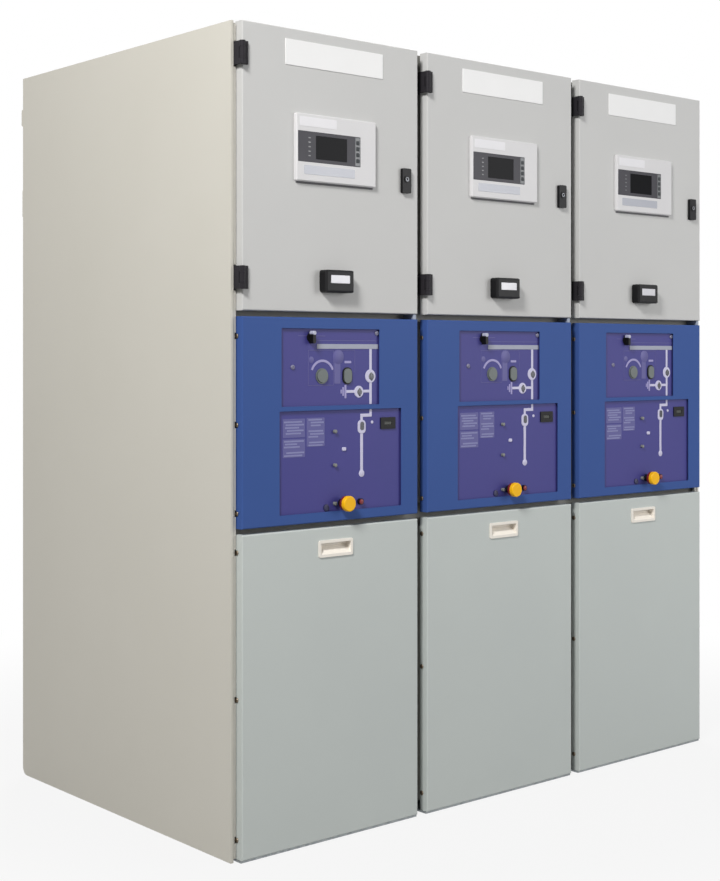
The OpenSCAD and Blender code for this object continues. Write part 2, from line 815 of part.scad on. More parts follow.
module cover_strips() {
    left_x = tray_x + sheet_t + fit_clear;
    color(frame_colour) for (i = panels) {
        for (cover = [[mech_z, mech_h], [floor_gap, cable_h]]) {
            at_panel(i) translate([0, 0, cover[0] + strip_inset]) {
                translate([left_x, 0, 0]) cover_strip(cover[1] - 2 * strip_inset);
                translate([panel_w - left_x, 0, 0]) mirror([1, 0, 0])
                    cover_strip(cover[1] - 2 * strip_inset);
            }
        }
    }
}

// Rubber seals on the compartments' mouths.
module door_seal() {
    seal_d = shadow_gap - seal_clear;
    ring_w = tray_w - 2 * seal_inset;
    ring_h = door_h - 2 * seal_inset;
    translate([tray_x + seal_inset, frame_y - seal_d, door_z + seal_inset]) difference() {
        cube([ring_w, seal_d, ring_h]);
        translate([seal_w, -eps, seal_w]) cube([ring_w - 2 * seal_w, seal_d + 2 * eps, ring_h - 2 * seal_w]);
    }
}

module door_seals() {
    color(black_colour) for (i = panels) {
        at_panel(i) door_seal();
    }
}

// Top-hat rail, running along x from the origin, its foot at y = 0.
module mounting_rail(l) {
    crown = rail_w - 2 * rail_foot_w;
    translate([0, -rail_d, -crown / 2]) cube([l, rail_t, crown]);
    for (z = [-crown / 2, crown / 2 - rail_t]) {
        translate([0, -rail_d, z]) cube([l, rail_d, rail_t]);
    }
    for (z = [-rail_w / 2, crown / 2 - rail_t]) {
        translate([0, -rail_t, z]) cube([l, rail_t, rail_foot_w + rail_t]);
    }
}

// Mounting plate on four posts from the compartment's rear wall, with two rails.
module mounting_plate() {
    plate_w = panel_w - 2 * sheet_t - 2 * plate_margin;
    plate_h = height - sheet_t - upper_seam_z - 2 * sheet_t - 2 * plate_margin;
    wall_y = frame_y + lv_depth - sheet_t;
    front = wall_y - plate_standoff - sheet_t;
    middle_z = (upper_seam_z + height - sheet_t) / 2;
    post_x = plate_w / 2 - plate_post_inset;
    post_z = plate_h / 2 - plate_post_inset;
    translate([panel_w / 2, 0, middle_z]) union() {
        translate([-plate_w / 2, front, -plate_h / 2]) cube([plate_w, sheet_t, plate_h]);
        for (x = [-1, 1]) {
            for (z = [-1, 1]) {
                translate([x * post_x, wall_y, z * post_z]) front_disc(plate_post_r, plate_standoff + eps);
            }
        }
        for (z = [-1, 1]) {
            translate([rail_inset - plate_w / 2, front + eps, z * plate_h / 5])
                mounting_rail(plate_w - 2 * rail_inset);
        }
    }
}

module mounting_plates() {
    color(steel_colour) for (i = panels) {
        at_panel(i) mounting_plate();
    }
}

// Base frame of one panel: an upright web all round with a floor flange and four bolt holes. The
// front flange reaches forward under the cable cover.
module base_ring() {
    ring_w = panel_w - 2 * joint_clear;
    ring_d = rear_y - frame_y;
    hole_xs = [floor_hole_inset, ring_w - floor_hole_inset];
    hole_ys = [floor_hole_inset, ring_d - floor_hole_inset];
    translate([tray_x, toe_recess, 0]) cube([tray_w, frame_y + base_t - toe_recess, base_t]);
    translate([joint_clear, frame_y, 0]) difference() {
        cube([ring_w, ring_d, base_h]);
        translate([base_t, base_t, base_t]) cube([ring_w - 2 * base_t, ring_d - 2 * base_t, base_h]);
        translate([base_flange_w, base_flange_w, -eps])
            cube([ring_w - 2 * base_flange_w, ring_d - 2 * base_flange_w, base_h]);
        for (x = hole_xs) {
            for (y = hole_ys) {
                translate([x, y, -eps]) cylinder(d = floor_hole_d, h = base_t + 2 * eps);
            }
        }
    }
}

module base_frame() {
    color("#8c8f90") for (i = panels) {
        at_panel(i) base_ring();
    }
}

// End cover: full-height sheet with a hem in front and edges folded over the roof and the rear.
module end_cover() {
    color(sheet_colour) translate([0, front_y, 0]) union() {
        translate([-sheet_t, 0, 0]) rotate([90, 0, 90]) linear_extrude(sheet_t) translate([end_y, 0]) {
            two_round_rect(depth - end_y, height, end_corner_r);
            square([2 * end_corner_r, height]);
        }
        translate([-sheet_t, end_y, 0]) cube([end_hem_w, sheet_t, height]);
        translate([-sheet_t, frame_y, height - sheet_t]) cube([end_fold_w, depth - frame_y, sheet_t]);
        translate([-sheet_t, depth - sheet_t, end_corner_r])
            cube([end_fold_w, sheet_t, height - end_corner_r]);
    }
}

module end_cover_left() {
    translate([-row_w / 2, 0, 0]) end_cover();
}

module end_cover_right() {
    mirror([1, 0, 0]) translate([-row_w / 2, 0, 0]) end_cover();
}

// Rear covers: an upper and a lower folded tray on each panel.
module rear_cover(z, h) {
    translate([panel_w - rear_gap / 2, depth - sheet_t, z]) rotate([0, 0, 180])
        folded_tray(panel_w - rear_gap, h, rear_fold_d);
}

module rear_covers() {
    color(sheet_colour) for (i = panels) {
        at_panel(i) {
            rear_cover(base_h, upper_seam_z - base_h - rear_gap / 2);
            rear_cover(upper_seam_z + rear_gap / 2, roof_z - upper_seam_z - rear_gap / 2);
        }
    }
}

// Rounded clips on the rear folds of the end covers.
module rear_clip(l, p) {
    translate([0, depth, -l / 2]) rotate([0, -90, 0]) mirror([0, 0, 1])
        linear_extrude(end_fold_w - 2 * clip_inset)
        translate([0, p]) mirror([0, 1]) two_round_rect(l, p, p / 2);
}

module rear_clips() {
    color(sheet_colour) for (side = [0, 1]) {
        mirror([side, 0, 0]) translate([clip_inset - sheet_t - row_w / 2, front_y, height]) {
            translate([0, 0, -clip_upper_drop]) rear_clip(clip_upper_l, clip_upper_p);
            translate([0, 0, -clip_lower_drop]) rear_clip(clip_lower_l, clip_lower_p);
        }
    }
}

// Roof plates behind the low-voltage compartments.
module roof_plates() {
    color(sheet_colour) for (i = panels) {
        at_panel(i) translate([joint_clear, frame_y + lv_depth + joint_clear, roof_z])
            cube([panel_w - 2 * joint_clear, depth - sheet_t - frame_y - lv_depth - joint_clear, roof_t]);
    }
}

for (i = panels) {
    at_panel(i) panel_housing();
    at_panel(i) lv_compartment();
    at_panel(i) lv_door();
    at_panel(i) hinge_leaves();
    at_panel(i) relay();
    at_panel(i) relay_display();
    at_panel(i) voltage_indicator();
    at_panel(i) door_lock();
    at_panel(i) mechanism_cover();
    at_panel(i) operating_plates();
    at_panel(i) cable_cover();
}
end_cover_left();
end_cover_right();
base_frame();
rear_covers();
rear_clips();
roof_plates();
mounting_plates();
door_seals();
hinge_brackets();
cover_strips();
lever_covers();
operating_knobs();
trip_buttons();
cover_handles();
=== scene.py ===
import math

import bpy
import numpy as np
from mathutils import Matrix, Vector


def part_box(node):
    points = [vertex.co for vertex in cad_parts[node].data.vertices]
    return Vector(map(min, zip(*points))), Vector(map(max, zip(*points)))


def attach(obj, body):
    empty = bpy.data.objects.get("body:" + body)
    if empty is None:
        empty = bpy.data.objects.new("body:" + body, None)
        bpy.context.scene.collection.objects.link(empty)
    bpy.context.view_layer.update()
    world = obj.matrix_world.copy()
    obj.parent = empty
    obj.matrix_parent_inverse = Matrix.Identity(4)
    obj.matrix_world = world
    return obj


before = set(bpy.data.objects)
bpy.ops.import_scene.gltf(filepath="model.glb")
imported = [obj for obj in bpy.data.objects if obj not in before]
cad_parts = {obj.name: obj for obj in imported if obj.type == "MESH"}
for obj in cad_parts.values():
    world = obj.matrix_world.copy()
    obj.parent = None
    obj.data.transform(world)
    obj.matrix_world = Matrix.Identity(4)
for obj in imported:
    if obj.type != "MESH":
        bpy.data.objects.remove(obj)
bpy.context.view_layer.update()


# Base frames: steel angles, welded into a ring under each panel, hot-dip galvanised after welding
# and bolted to the floor.
mm = 0.001


def linear(hex_colour):
    """sRGB hex to linear RGBA: the low end is a straight line, the rest a power of 2.4."""
    c = np.array([int(hex_colour[k:k + 2], 16) / 255 for k in (1, 3, 5)])
    return (*np.where(c <= 0.04045, c / 12.92, ((c + 0.055) / 1.055) ** 2.4).tolist(), 1.0)


def add_node(tree, kind, sockets=(), links=(), **settings):
    """Adds one shader node: settings are its properties, sockets its values and links its inputs,
    each input with the node and the output that feed it."""
    node = tree.nodes.new(kind)
    for name, value in settings.items():
        setattr(node, name, value)
    for name, value in dict(sockets).items():
        node.inputs[name].default_value = value
    for name, (source, output) in dict(links).items():
        tree.links.new(source.outputs[output], node.inputs[name])
    return node


def new_finish(name, **sockets):
    """A material with one surface shader, whose uniform values are given by name."""
    material = bpy.data.materials.new(name)
    material.use_nodes = True
    tree = material.node_tree
    tree.nodes.clear()
    values = {key.replace("_", " "): value for key, value in sockets.items()}
    shader = add_node(tree, "ShaderNodeBsdfPrincipled", values)
    add_node(tree, "ShaderNodeOutputMaterial", links={"Surface": (shader, "BSDF")})
    return material, tree, shader


def dress(material, *names):
    """Gives CAD nodes a material."""
    for name in names:
        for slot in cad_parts[name].material_slots:
            slot.material = material


# Galvanised steel: a dull grey metal, broken into a faint mosaic of zinc crystals.
zinc, tree, shader = new_finish("hot_dip_galvanised_steel", Metallic=0.85, Roughness=0.48)
crystal = 9 * mm
place = add_node(tree, "ShaderNodeTexCoord")
flakes = add_node(tree, "ShaderNodeTexVoronoi", {"Scale": 1 / crystal},
                  {"Vector": (place, "Object")})
shade = add_node(tree, "ShaderNodeSeparateColor", links={"Color": (flakes, "Color")})
mix = add_node(tree, "ShaderNodeMixRGB", {"Color1": linear("#858a8d"), "Color2": linear("#9da2a4")},
               {"Fac": (shade, "Red")})
tree.links.new(mix.outputs["Color"], shader.inputs["Base Color"])
dress(zinc, "base_frame")


# Housings, low-voltage compartments and angle strips: the carcass of each panel, folded and
# riveted from steel sheet with an aluminium-zinc coating, left unpainted.
panels = (1, 2, 3)


def each_panel(*names):
    """Names of the nodes that every panel has its own of."""
    return [f"{name}_{i}" for name in names for i in panels]


def finish(name, pale, deep, patch, relief=None, **sockets):
    """A material whose colour drifts between two close shades over patches of the given size. The
    relief, where there is one, is small rounded bumps of a width and a depth."""
    material, tree, shader = new_finish(name, **sockets)
    place = add_node(tree, "ShaderNodeTexCoord")
    drift = add_node(tree, "ShaderNodeTexNoise", {"Scale": 1 / patch, "Detail": 3.0},
                     {"Vector": (place, "Object")})
    mix = add_node(tree, "ShaderNodeMixRGB", {"Color1": linear(pale), "Color2": linear(deep)},
                   {"Fac": (drift, "Fac")})
    tree.links.new(mix.outputs["Color"], shader.inputs["Base Color"])
    if relief:
        width, depth = relief
        grain = add_node(tree, "ShaderNodeTexNoise", {"Scale": 1 / width, "Detail": 2.0},
                         {"Vector": (place, "Object")})
        bump = add_node(tree, "ShaderNodeBump", {"Strength": 0.5, "Distance": depth},
                        {"Height": (grain, "Fac")})
        tree.links.new(bump.outputs["Normal"], shader.inputs["Normal"])
    return material


# Aluminium-zinc coated sheet: dull mid grey, with hardly any mirror in it. Its grey is kept
# darker than the bare coating so that the gaps between the trays stay dark: partly painted shade.
aluzinc = finish("aluminium_zinc_coated_sheet", "#9a9994", "#8b8a85", 25 * mm, Metallic=0.15,
                 Roughness=0.6, Specular_IOR_Level=0.2)
dress(aluzinc, *each_panel("panel_housing", "lv_compartment"), "cover_strips")


# Inside the compartments: a zinc-plated mounting plate with two top-hat rails, screwed to four
# posts, and a foam rubber seal glued round the mouth.

# Zinc-plated sheet: a bright, bluish metal with a blurred mirror.
plated = finish("zinc_plated_sheet", "#b4b8ba", "#a3a8ab", 60 * mm, Metallic=1.0, Roughness=0.34)
dress(plated, "mounting_plates")
# Black foam rubber: matt, with open pores that catch no highlight. They are about 1 mm wide and
# are drawn at 2 mm so that they show.
foam_pores = (2 * mm, 0.3 * mm)
foam = finish("black_foam_rubber", "#1d1d1d", "#151515", 12 * mm, foam_pores, Roughness=0.85)
dress(foam, "door_seals")


# End covers with their rear clips, and the roof plates: large folded steel sheets, powder-coated
# in light grey and screwed to the housings. Their grey is painted warmer and lighter than the
# doors' to stand for the warm, strong light from the left: painted light.
def powder_coat(name, pale, deep, roughness=0.45, gloss=0.2):
    """Satin powder coat: close shades drift over a forearm's length, and the orange peel, about
    2 mm from bump to bump, is drawn at 4 mm so that it shows."""
    return finish(name, pale, deep, 300 * mm, (4 * mm, 0.12 * mm), Roughness=roughness, IOR=1.5,
                  Specular_IOR_Level=gloss)


# Light grey powder coat, painted warmer and lighter than on the doors for the warm light from the
# left: painted light. An even satin film, whose orange peel is only seen in a low light.
end_paint = powder_coat("grey_powder_coat_painted_warm_light", "#d5d2c9", "#d1cec4", 0.5)
dress(end_paint, "end_cover_left", "end_cover_right", "rear_clips", "roof_plates")


# Rear covers: shallow folded steel trays, powder-coated in a cream grey. Zinc-plated hexagon
# screws, with a rolled flange and a dished head, hold each along its two sides.
def loft_faces(rings, n):
    """Quads from each ring of n points to the next, and a flat cap at either end."""
    around = np.arange(n)
    ahead = np.roll(around, -1)
    strip = np.stack([around, ahead, ahead + n, around + n], axis=-1)
    quads = n * np.arange(rings - 1)[:, None, None] + strip
    caps = np.stack([around[::-1], n * (rings - 1) + around])
    return [quads.reshape(-1, 4), caps]


def turned(profile, sides=24):
    """A round piece that stands forward of y = 0: each row of the profile, a radius and a height,
    is carried round the axis in the given number of sides."""
    radius, height = np.array(profile, float).T[:, :, None]
    angle = 2 * np.pi * np.arange(sides) / sides
    points = np.stack([radius * np.cos(angle), 0 * angle - height, radius * np.sin(angle)], axis=-1)
    return points.reshape(-1, 3), loft_faces(len(profile), sides)


def copies(shape, places):
    """The shape at each of several places, as one shape: its points are added to every place, and
    the numbers of its faces run on from copy to copy."""
    points, faces = shape
    places = np.reshape(places, (-1, 1, 3))
    step = len(points) * np.arange(len(places))[:, None, None]
    faces = [(step + group).reshape(-1, group.shape[1]) for group in faces]
    return (places + points).reshape(-1, 3), faces


def facing(shape, side):
    """The shape, made to stand forward of the front, turned to stand out of another side: a quarter
    or half turn about the upright axis, or for the top about the x axis."""
    rows = {"left": [[0, 1, 0], [-1, 0, 0], [0, 0, 1]], "right": [[0, -1, 0], [1, 0, 0], [0, 0, 1]],
            "back": [[-1, 0, 0], [0, -1, 0], [0, 0, 1]], "top": [[1, 0, 0], [0, 0, 1], [0, -1, 0]]}
    return shape[0] @ np.array(rows[side], float).T, shape[1]


def piece(name, shapes, material, body):
    """One object at the origin from several shapes, smooth but for its edges, riding on a body."""
    sharp = math.radians(32)
    starts = np.cumsum([0] + [len(points) for points, _ in shapes])
    faces = [face for start, (_, groups) in zip(starts, shapes) for group in groups
             for face in (group + start).tolist()]
    mesh = bpy.data.meshes.new(name)
    mesh.from_pydata(np.concatenate([points for points, _ in shapes]).tolist(), [], faces)
    mesh.polygons.foreach_set("use_smooth", np.ones(len(faces), bool))
    mesh.set_sharp_from_angle(angle=sharp)
    mesh.materials.append(material)
    obj = bpy.data.objects.new(name, mesh)
    bpy.context.scene.collection.objects.link(obj)
    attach(obj, body)


def grid(*axes):
    """Every place whose x, y and z are taken from the three lists."""
    lists = [np.atleast_1d(axis) for axis in axes]
    return np.stack(np.meshgrid(*lists, indexing="ij"), axis=-1).reshape(-1, 3)


# Cream grey powder coat: the same satin film as on the end covers, a little smoother.
sheet_paint = powder_coat("cream_grey_powder_coat", "#d3d1ca", "#cdcac2")
dress(sheet_paint, "rear_covers")
# Zinc-plated screw steel: small bright glints, slightly blotched.
screw_zinc = finish("zinc_plated_steel", "#c3c5c4", "#aeb1b1", 6 * mm, Metallic=1.0, Roughness=0.3)
flange = turned([(7 * mm, 0), (7 * mm, 0.9 * mm), (5.2 * mm, 1.6 * mm)])
hexagon = turned([(5 * mm, 1.2 * mm), (5 * mm, 4.6 * mm), (4.4 * mm, 5.2 * mm),
                  (2.8 * mm, 4.8 * mm)], sides=6)


def hexagon_screws(name, side, places):
    """Flanged hexagon screws that stand out of one side of the row."""
    piece(name, [copies(facing(part, side), places) for part in (flange, hexagon)], screw_zinc,
          "cubicle")


panel_left = np.array([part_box(f"lv_compartment_{i}")[0].x for i in panels])
panel_w = panel_left[1] - panel_left[0]
rear_lo, rear_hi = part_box("rear_covers")
rear_screw_in, rear_screw_end = 16 * mm, 60 * mm
rear_xs = np.concatenate([panel_left + rear_screw_in, panel_left + panel_w - rear_screw_in])
rear_rows = np.linspace(rear_lo.z + rear_screw_end, rear_hi.z - rear_screw_end, 8)
hexagon_screws("rear_cover_screws", "back", grid(rear_xs, rear_hi.y, rear_rows))


# Roof plates: flat sheets that close the top behind the compartments. Each is held down by six of
# the same hexagon screws, close to its edges.
roof_lo, roof_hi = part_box("roof_plates")
roof_side_in, roof_end_in = 36 * mm, 22 * mm
roof_xs = np.concatenate([panel_left + roof_side_in, panel_left + panel_w - roof_side_in])
roof_ys = np.linspace(roof_lo.y + roof_end_in, roof_hi.y - roof_end_in, 3)
hexagon_screws("roof_screws", "top", grid(roof_xs, roof_ys, roof_hi.z))


# Low-voltage doors: folded steel trays in light grey powder coat. Each carries a bare white plate
# of engraving laminate near its top, glued flat on the face.
def moulding(w, h, r, profile, steps=5):
    """A rounded block that stands forward of y = 0: an outline of w by h, with quarter circles of
    radius r at its corners, is carried along the profile, rows of an inset and a height."""
    inset, height = np.array(profile, float).T[:, :, None]
    corner = np.repeat(np.pi / 2 * np.arange(4), steps + 1)
    angle = corner + np.tile(np.linspace(0, np.pi / 2, steps + 1), 4)
    radius = np.maximum(r - inset, 0.05 * mm)
    u = np.sign(np.cos(corner + np.pi / 4)) * (w / 2 - inset - radius) + radius * np.cos(angle)
    v = np.sign(np.sin(corner + np.pi / 4)) * (h / 2 - inset - radius) + radius * np.sin(angle)
    points = np.stack([u, 0 * u - height, v], axis=-1)
    return points.reshape(-1, 3), loft_faces(len(profile), angle.size)


def thin_plate(w, h, r, t):
    """A flat plate of thickness t whose front edge is eased by a third of that."""
    return moulding(w, h, r, [(0, 0), (0, t * 2 / 3), (t / 3, t)])


def on_door(i, name, shape, places, material):
    """A piece of one door: the shape at each of its places, riding on that door."""
    piece(f"{name}_{i}", [copies(shape, places)], material, f"door_{i}")


# Light grey powder coat: a neutral satin grey that takes a broad soft sheen and no mirror image.
door_paint = powder_coat("light_grey_powder_coat", "#cbcbca", "#c6c6c5")
dress(door_paint, *each_panel("lv_door"))
# White engraving laminate: a flat, chalky white with the faint tooth of its pressed skin, about
# 0.4 mm wide and drawn at 1.2 mm so that it shows.
laminate = finish("white_engraving_laminate", "#ececec", "#e8e8e8", 90 * mm, (1.2 * mm, 0.03 * mm),
                  Roughness=0.4)
name_w, name_h, name_r, name_t = 314.5 * mm, 63 * mm, 2 * mm, 1.5 * mm
name_shift, name_drop = 3 * mm, 58 * mm
door_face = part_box("lv_door_1")[0].y
for i in panels:
    lo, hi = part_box(f"lv_door_{i}")
    on_door(i, "name_plate", thin_plate(name_w, name_h, name_r, name_t),
            ((lo.x + hi.x) / 2 + name_shift, door_face, hi.z - name_drop), laminate)


# Hinges: zinc castings, a leaf screwed to the door and an arm on the frame, with a steel pin
# through their barrels, all under one black powder coat.

# Black powder coat: a soft black that lifts to charcoal in the light, with a dull sheen.
hinge_black = powder_coat("black_powder_coat", "#302e32", "#29272b", 0.4, gloss=0.08)
dress(hinge_black, *each_panel("hinge_leaves"), "hinge_brackets")


# Protection relays: a white moulded front, set into the door on a foam gasket whose grey lip
# shows underneath as a painted shadow below the relay. A dark display foil is sunk into it, with
# rubber keys on a paler strip, and bare label pockets lie above and below. Three rows of plugs
# with clamp screws are on the back.

# White moulded polycarbonate: a clean white whose fine grain dulls the sheen. The grain of these
# mouldings is about 0.3 mm wide and is drawn at 1 mm so that it shows.
mould_grain = 1 * mm
moulded_white = finish("white_moulded_polycarbonate", "#d5d4d5", "#d0cfd1", 80 * mm,
                       (mould_grain, 0.04 * mm), Roughness=0.42)
dress(moulded_white, *each_panel("relay"))
# Dark polyester foil round the display: a smooth charcoal film, a little uneven where it is glued.
display_foil = finish("dark_polyester_foil", "#49484e", "#38373d", 120 * mm, Roughness=0.35,
                      IOR=1.5, Specular_IOR_Level=0.15)
dress(display_foil, *each_panel("relay_display"))
# Coated display glass: smooth and nearly black, since its coat takes the glare away.
screen_glass = finish("coated_display_glass", "#18181b", "#111113", 70 * mm, Roughness=0.2, IOR=1.5,
                      Specular_IOR_Level=0.04)
# Grey polyester foil and silicone rubber of the keys: a satin film under darker, matt caps.
key_foil = finish("grey_polyester_foil", "#6c6f72", "#616466", 30 * mm, Roughness=0.35)
key_rubber = finish("dark_silicone_rubber", "#3c3f41", "#34373a", 8 * mm, Roughness=0.6,
                    Specular_IOR_Level=0.3)
# Grey moulded acrylic of the lamps: small smooth lenses, dull because nothing shines behind them.
lamp_grey = finish("grey_moulded_acrylic", "#77797c", "#6c6e71", 4 * mm, Roughness=0.25)
# Polyester foils of the label pockets: a white film above and a glossier, bluish one below.
label_foil = finish("white_polyester_foil", "#e4e3e6", "#dedde1", 60 * mm, Roughness=0.4)
pocket_foil = finish("pale_blue_polyester_foil", "#aaadb8", "#b5b7bf", 70 * mm, Roughness=0.25,
                     IOR=1.5)
# Grey foam rubber: matt and porous, a flat grey line at the relay's foot that is a painted
# shadow below the relay.
gasket_shadow_foam = finish("grey_foam_rubber", "#77777a", "#6c6c6f", 12 * mm, foam_pores, Roughness=0.85,
                     Specular_IOR_Level=0.2)
# Dark grey moulded polyamide: satin, with a faint mottle from its glass filling.
plug_grey = finish("dark_grey_moulded_polyamide", "#4d5254", "#43484a", 15 * mm, Roughness=0.5,
                   Specular_IOR_Level=0.3)
screen = thin_plate(99.4 * mm, 57.4 * mm, 1 * mm, 0.6 * mm)
screen_shift, screen_sink = 6 * mm, 1 * mm
key_strip = thin_plate(16 * mm, 71 * mm, 1.5 * mm, 0.4 * mm)
key_cap = moulding(10 * mm, 10 * mm, 2 * mm,
                   [(0, 0), (0, 1.2 * mm), (0.5 * mm, 1.6 * mm), (2 * mm, 1.9 * mm)])
key_pitch, key_in = 15 * mm, 9 * mm
lamp = thin_plate(7 * mm, 3 * mm, 1 * mm, 0.5 * mm)
lamp_in, lamp_pitch = 36 * mm, 11 * mm
pocket_r, pocket_t, pocket_gap = 1.5 * mm, 0.5 * mm, 8 * mm
head_w, head_h, head_in = 117 * mm, 23 * mm, 10 * mm
foot_w, foot_h, foot_in = 162 * mm, 22 * mm, 24 * mm
head = thin_plate(head_w, head_h, pocket_r, pocket_t)
foot = thin_plate(foot_w, foot_h, pocket_r, pocket_t)
foil_sink = 0.3 * mm
gasket_h, gasket_t, gasket_in, gasket_gap = 4.5 * mm, 2 * mm, 5 * mm, 0.2 * mm
plug_d, plug_pitch, clamp_pitch = 9 * mm, 42 * mm, 15 * mm
plug = moulding(190 * mm, 20 * mm, 1.5 * mm, [(0, 0), (0, plug_d - 1 * mm), (1 * mm, plug_d)])
clamp = turned([(2.6 * mm, plug_d - 0.5 * mm), (2.6 * mm, plug_d + 0.3 * mm),
                (1.9 * mm, plug_d + 0.8 * mm)], sides=10)
for i in panels:
    lo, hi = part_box(f"relay_display_{i}")
    mid_x, mid_z = (lo.x + hi.x) / 2, (lo.z + hi.z) / 2
    relay_lo, relay_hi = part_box(f"relay_{i}")
    relay_x, relay_z = (relay_lo.x + relay_hi.x) / 2, (relay_lo.z + relay_hi.z) / 2
    foil_y = relay_lo.y + foil_sink
    key_x = hi.x - key_in
    on_door(i, "relay_screen", screen, (mid_x + screen_shift, foil_y + screen_sink, mid_z),
            screen_glass)
    on_door(i, "relay_key_strip", key_strip, (key_x, foil_y, mid_z), key_foil)
    on_door(i, "relay_keys", key_cap, grid(key_x, foil_y, mid_z + key_pitch * (np.arange(4) - 1.5)),
            key_rubber)
    on_door(i, "relay_lamps", lamp,
            grid(lo.x + lamp_in, foil_y, mid_z + lamp_pitch * (2 - np.arange(5))), lamp_grey)
    on_door(i, "relay_label", head,
            (relay_lo.x + head_in + head_w / 2, relay_lo.y, relay_hi.z - pocket_gap - head_h / 2),
            label_foil)
    on_door(i, "relay_label_pocket", foot,
            (relay_lo.x + foot_in + foot_w / 2, relay_lo.y, lo.z - pocket_gap - foot_h / 2),
            pocket_foil)
    # The gasket's lip below each relay is a painted shadow.
    gasket = thin_plate(relay_hi.x - relay_lo.x - 2 * gasket_in, gasket_h, 1 * mm, gasket_t)
    on_door(i, "relay_gasket_shadow_line", gasket, (relay_x, door_face, relay_lo.z - gasket_h / 2 - gasket_gap),
            gasket_shadow_foam)
    plug_rows = relay_z + plug_pitch * (np.arange(3) - 1)
    clamp_xs = relay_x + clamp_pitch * (np.arange(12) - 5.5)
    on_door(i, "relay_plugs", facing(plug, "back"), grid(relay_x, relay_hi.y, plug_rows), plug_grey)
    on_door(i, "relay_clamps", facing(clamp, "back"), grid(clamp_xs, relay_hi.y, plug_rows),
            screw_zinc)


# Voltage indicators and door locks: black mouldings, screwed on from behind the door. The
# indicator has a white lens in its window, and the lock a key bush pressed into its socket.

# Black moulded polyamide: a deep satin black with a fine grain.
moulded_black = finish("black_moulded_polyamide", "#151517", "#0e0e10", 40 * mm,
                       (mould_grain, 0.05 * mm), Roughness=0.44, Specular_IOR_Level=0.18)
dress(moulded_black, *each_panel("voltage_indicator", "door_lock"))
# White moulded acrylic of the lens: smooth and glossy, the brightest spot on the lower door.
lens_white = finish("white_moulded_acrylic", "#dedee2", "#d2d1d9", 25 * mm, Roughness=0.14,
                    IOR=1.49)
# Dull die-cast zinc: a soft grey glint round the key hole.
die_cast = finish("dull_die_cast_zinc", "#7d7f83", "#6b6d71", 5 * mm, Metallic=0.9, Roughness=0.42)
indicator_lens = moulding(61.4 * mm, 20.4 * mm, 2 * mm,
                          [(0, 0), (0, 1.2 * mm), (0.6 * mm, 1.7 * mm), (4 * mm, 1.9 * mm)])
lock_bush = turned([(5.9 * mm, 0), (5.9 * mm, 6.2 * mm), (5.4 * mm, 6.7 * mm), (3.6 * mm, 6.7 * mm),
                    (3.2 * mm, 6 * mm), (3.2 * mm, 1 * mm)])
lens_rise, lens_sink = 5 * mm, 2 * mm
bush_rise, bush_sink = 4 * mm, 7 * mm
for i in panels:
    lo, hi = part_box(f"voltage_indicator_{i}")
    on_door(i, "indicator_lens", indicator_lens,
            ((lo.x + hi.x) / 2, lo.y + lens_sink, (lo.z + hi.z) / 2 + lens_rise), lens_white)
    lo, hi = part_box(f"door_lock_{i}")
    on_door(i, "lock_bush", lock_bush,
            ((lo.x + hi.x) / 2, lo.y + bush_sink, (lo.z + hi.z) / 2 + bush_rise), die_cast)


# Mechanism covers: folded steel trays in blue powder coat. Pan-head screws hold their sides to
# the angle strips. A pale nylon buffer for the door, clipped on each top edge at its right, is a
# painted spot of the light seen through the seam there.

# Blue powder coat: a strong mid blue with little gloss, so the colour holds at low angles.
blue_paint = powder_coat("blue_powder_coat", "#415c9a", "#3c5794", gloss=0.08)
dress(blue_paint, *each_panel("mechanism_cover"))
# Yellow passivated zinc: a dull brownish metal.
yellow_zinc = finish("yellow_passivated_zinc", "#857868", "#6d6257", 5 * mm, Metallic=1.0,
                     Roughness=0.36)
# Pale grey moulded nylon: a cool grey, nearly matt, a painted light for the seam's right end.
seam_light_nylon = finish("pale_nylon_painted_seam_light", "#9ba4b4", "#8f98a9", 10 * mm, Roughness=0.5)
pan_head = turned([(6 * mm, 0), (6 * mm, 1.6 * mm), (5.1 * mm, 2.9 * mm), (3.4 * mm, 3.6 * mm),
                   (2.5 * mm, 3.6 * mm), (2 * mm, 2 * mm)])
cover_lo, cover_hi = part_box("mechanism_cover_1")
screw_y = cover_hi.y - 7 * mm
tray_in = cover_lo.x - panel_left[0]
tray_sides = {"left": panel_left + tray_in, "right": panel_left + panel_w - tray_in}


def side_screws(name, rows):
    """Pan-head screws in both sides of the three panels' trays, at the given heights."""
    heads = [copies(facing(pan_head, side), grid(xs, screw_y, rows))
             for side, xs in tray_sides.items()]
    piece(name, heads, yellow_zinc, "cubicle")


screw_rows = cover_hi.z - np.array([47, 259, 470]) * mm
side_screws("mechanism_cover_screws", screw_rows)
# The buffers are pale spots that paint the light seen through the seams' right ends.
buffer_w, buffer_r, buffer_in = 11 * mm, 3 * mm, tray_in + 8 * mm
buffer_low, buffer_high = cover_hi.z - 1 * mm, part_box("lv_door_1")[0].z - 0.2 * mm
buffer = moulding(buffer_w, buffer_high - buffer_low, buffer_r,
                  [(0, -40 * mm), (0, -4 * mm), (1.5 * mm, -2.5 * mm)])
buffer_places = grid(panel_left + panel_w - buffer_in, cover_lo.y, (buffer_low + buffer_high) / 2)
piece("seam_buffers_painted_light", [copies(buffer, buffer_places)], seam_light_nylon, "cubicle")


# Operating plates: steel plates screen-printed in indigo behind the cover's two windows. White
# mimic strips, position discs and lilac label fields are raised prints on their faces, and each
# plate is held by small pan-head screws.
def on_plates(*parts):
    """Parts, each a shape with its place across a panel and above the floor in millimetres, on
    all three panels."""
    return [copies(shape, grid(panel_left + u * mm, plate_y, z * mm)) for shape, u, z in parts]


